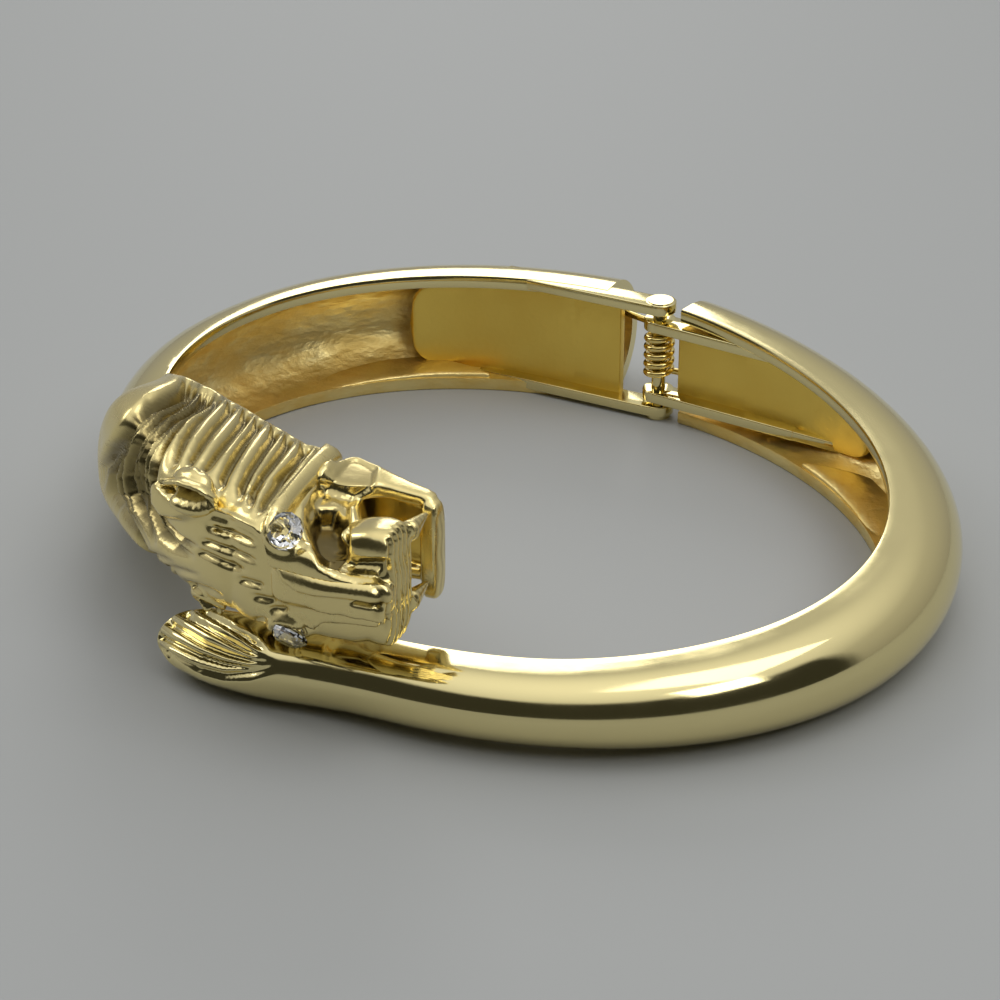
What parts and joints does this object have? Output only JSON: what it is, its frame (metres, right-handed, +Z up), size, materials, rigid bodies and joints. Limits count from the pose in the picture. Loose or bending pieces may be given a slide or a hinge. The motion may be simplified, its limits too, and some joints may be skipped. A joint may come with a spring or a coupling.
{
  "type": "bracelet",
  "caption": "Hinged oval bangle of gold-tone hollow cast metal: a lion's head with crystal eyes lies over a tapering tail tuft, sprung shut.",
  "frame": {"origin": "middle of the whole bracelet's box, on the surface it lies on", "axes": "+Z up along the wrist opening's axis, +X the way the lion looks and the long way of the oval, +Y from the head towards the hinge"},
  "size_m": [0.0667, 0.0607, 0.0175],
  "materials": {
    "head_arm": "polished gold-tone plate, rough inside",
    "tail_arm": "polished gold-tone plate, rough inside",
    "hinge_pin": "polished gold-tone plate",
    "hinge_spring": "bright drawn wire",
    "eye_stone_upper": "clear faceted",
    "eye_stone_lower": "clear faceted"
  },
  "bodies": {
    "tail_side": {"tail_arm": "tail_arm", "hinge_pin": "hinge_pin", "hinge_spring": "hinge_spring"},
    "head_side": {"head_arm": "head_arm", "eye_stone_upper": "eye_stone_upper", "eye_stone_lower": "eye_stone_lower"}
  },
  "joints": [
    {"name": "hinge", "type": "hinge", "parent": "tail_side", "child": "head_side", "pos_m": [-0.00669, 0.02388, 0.005], "axis": [0, 0, -1], "range_deg": [0, 48], "stiffness_Nm_per_rad": 0.02, "springref_deg": -34.38, "deforming": ["hinge_spring"]}
  ]
}
